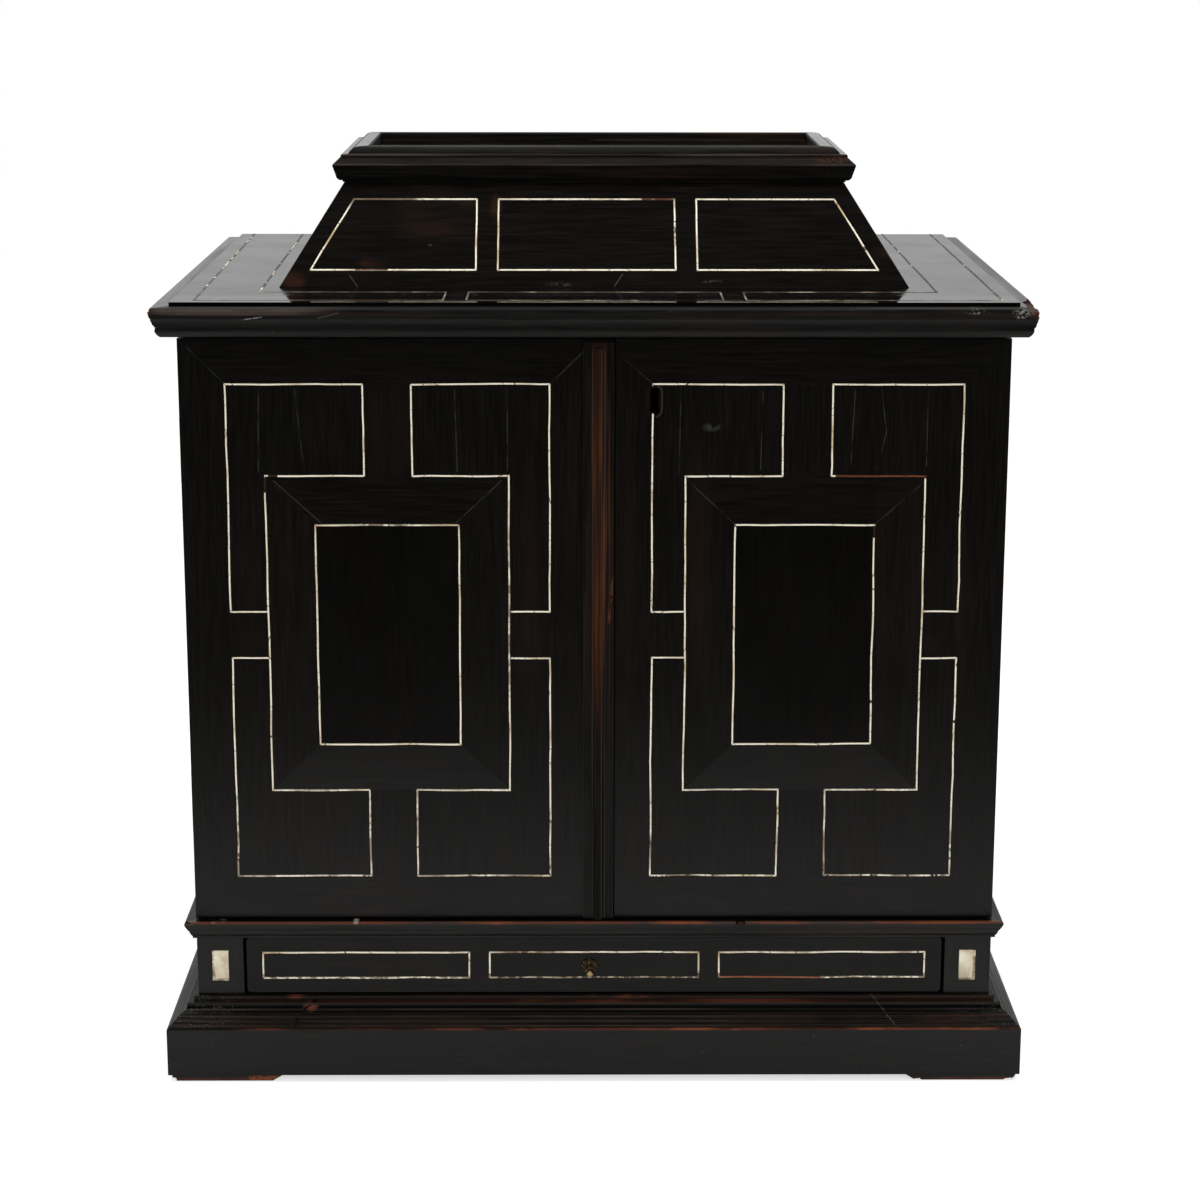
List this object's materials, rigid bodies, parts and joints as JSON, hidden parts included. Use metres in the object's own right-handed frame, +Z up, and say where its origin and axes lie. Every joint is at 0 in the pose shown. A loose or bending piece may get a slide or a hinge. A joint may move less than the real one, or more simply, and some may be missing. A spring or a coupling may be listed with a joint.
{
  "type": "inlaid cabinet",
  "caption": "Ebonised table cabinet with bone stringing: plinth drawer, panelled doors over a nest of small drawers, coffered top with a tray.",
  "frame": {"origin": "on the floor, at the middle of the cabinet's width and depth (the plinth's front face to the back board)", "axes": "+Z up, +X to the right seen from the front, -Y out of the doors, so +Y points to the back"},
  "size_m": [0.609, 0.4046, 0.6544],
  "materials": {
    "ebony_veneer": "worn satin ebony veneer, near black with faint brown streaks",
    "ebonised_wood": "ebonised mouldings, worn to reddish brown on the edges",
    "bone": "aged bone, ivory white with tan stains",
    "brass": "aged brass",
    "cedar": "oiled reddish cedar",
    "drawer_wood": "plain drawer wood, fronts ebonised"
  },
  "bodies": {
    "case": {"base_floor": "cedar", "bone_plaques": "bone", "case_back": "cedar", "case_floor": "cedar", "case_hinges": "brass", "case_side_left": "ebony_veneer", "case_side_right": "ebony_veneer", "case_top": "cedar", "coffer_back": "ebony_veneer", "coffer_front": "ebony_veneer", "coffer_left": "ebony_veneer", "coffer_right": "ebony_veneer", "coffer_stringing": "bone", "cornice_moulding": "ebonised_wood", "drawer_guides": "cedar", "frieze_blocks": "ebony_veneer", "mid_moulding": "ebonised_wood", "nest_divider": "cedar", "nest_shelves": "cedar", "plinth_back": "cedar", "plinth_feet": "ebonised_wood", "plinth_front": "ebonised_wood", "plinth_left": "ebonised_wood", "plinth_moulding": "ebonised_wood", "plinth_right": "ebonised_wood", "top_board": "ebony_veneer", "top_stringing": "bone", "tray_floor": "ebony_veneer", "tray_moulding": "ebonised_wood"},
    "door_left": {"astragal": "ebonised_wood", "door_left_board": "cedar", "door_left_border": "ebony_veneer", "door_left_field": "ebony_veneer", "door_left_frame": "ebony_veneer", "door_left_hinges": "brass", "door_left_panel": "ebony_veneer", "door_left_stringing": "bone", "lock_keeper": "brass"},
    "door_right": {"door_right_board": "cedar", "door_right_border": "ebony_veneer", "door_right_field": "ebony_veneer", "door_right_frame": "ebony_veneer", "door_right_hinges": "brass", "door_right_panel": "ebony_veneer", "door_right_stringing": "bone", "lock_case": "brass"},
    "lock_bolt": {"lock_bolt": "brass"},
    "base_drawer": {"base_drawer_box": "drawer_wood", "base_drawer_front": "ebony_veneer", "base_drawer_stringing": "bone", "drawer_rosette": "brass"},
    "drawer_drop": {"drawer_drop": "brass"},
    "nest_left_1": {"nest_drawer_left_1": "drawer_wood"},
    "nest_left_2": {"nest_drawer_left_2": "drawer_wood"},
    "nest_left_3": {"nest_drawer_left_3": "drawer_wood"},
    "nest_left_4": {"nest_drawer_left_4": "drawer_wood"},
    "nest_right_1": {"nest_drawer_right_1": "drawer_wood"},
    "nest_right_2": {"nest_drawer_right_2": "drawer_wood"},
    "nest_right_3": {"nest_drawer_right_3": "drawer_wood"},
    "nest_right_4": {"nest_drawer_right_4": "drawer_wood"}
  },
  "joints": [
    {"name": "door_left_hinge", "type": "hinge", "parent": "case", "child": "door_left", "pos_m": [-0.2848, -0.16205, 0.3258], "axis": [0, 0, -1], "range_deg": [0, 180]},
    {"name": "door_right_hinge", "type": "hinge", "parent": "case", "child": "door_right", "pos_m": [0.2848, -0.16205, 0.3258], "axis": [0, 0, 1], "range_deg": [0, 180]},
    {"name": "lock_bolt_slide", "type": "slide", "parent": "door_right", "child": "lock_bolt", "axis": [-1, 0, 0], "range_m": [0, 0.01]},
    {"name": "base_drawer_slide", "type": "slide", "parent": "case", "child": "base_drawer", "axis": [0, -1, 0], "range_m": [0, 0.26]},
    {"name": "drawer_drop_hinge", "type": "hinge", "parent": "base_drawer", "child": "drawer_drop", "pos_m": [-0.0032, -0.18565, 0.08005], "axis": [-1, 0, 0], "range_deg": [0, 80]},
    {"name": "nest_left_1_slide", "type": "slide", "parent": "case", "child": "nest_left_1", "axis": [0, -1, 0], "range_m": [0, 0.24]},
    {"name": "nest_left_2_slide", "type": "slide", "parent": "case", "child": "nest_left_2", "axis": [0, -1, 0], "range_m": [0, 0.24]},
    {"name": "nest_left_3_slide", "type": "slide", "parent": "case", "child": "nest_left_3", "axis": [0, -1, 0], "range_m": [0, 0.24]},
    {"name": "nest_left_4_slide", "type": "slide", "parent": "case", "child": "nest_left_4", "axis": [0, -1, 0], "range_m": [0, 0.24]},
    {"name": "nest_right_1_slide", "type": "slide", "parent": "case", "child": "nest_right_1", "axis": [0, -1, 0], "range_m": [0, 0.24]},
    {"name": "nest_right_2_slide", "type": "slide", "parent": "case", "child": "nest_right_2", "axis": [0, -1, 0], "range_m": [0, 0.24]},
    {"name": "nest_right_3_slide", "type": "slide", "parent": "case", "child": "nest_right_3", "axis": [0, -1, 0], "range_m": [0, 0.24]},
    {"name": "nest_right_4_slide", "type": "slide", "parent": "case", "child": "nest_right_4", "axis": [0, -1, 0], "range_m": [0, 0.24]}
  ],
  "couplings": [
    {"joint": "nest_left_1_slide", "follows": "door_left_hinge", "m_per_rad": 0.009549},
    {"joint": "nest_left_2_slide", "follows": "door_left_hinge", "m_per_rad": 0.019099},
    {"joint": "nest_left_3_slide", "follows": "door_left_hinge", "m_per_rad": 0.028648},
    {"joint": "nest_left_4_slide", "follows": "door_left_hinge", "m_per_rad": 0.038197},
    {"joint": "nest_right_1_slide", "follows": "door_right_hinge", "m_per_rad": 0.009549},
    {"joint": "nest_right_2_slide", "follows": "door_right_hinge", "m_per_rad": 0.019099},
    {"joint": "nest_right_3_slide", "follows": "door_right_hinge", "m_per_rad": 0.028648},
    {"joint": "nest_right_4_slide", "follows": "door_right_hinge", "m_per_rad": 0.038197}
  ]
}
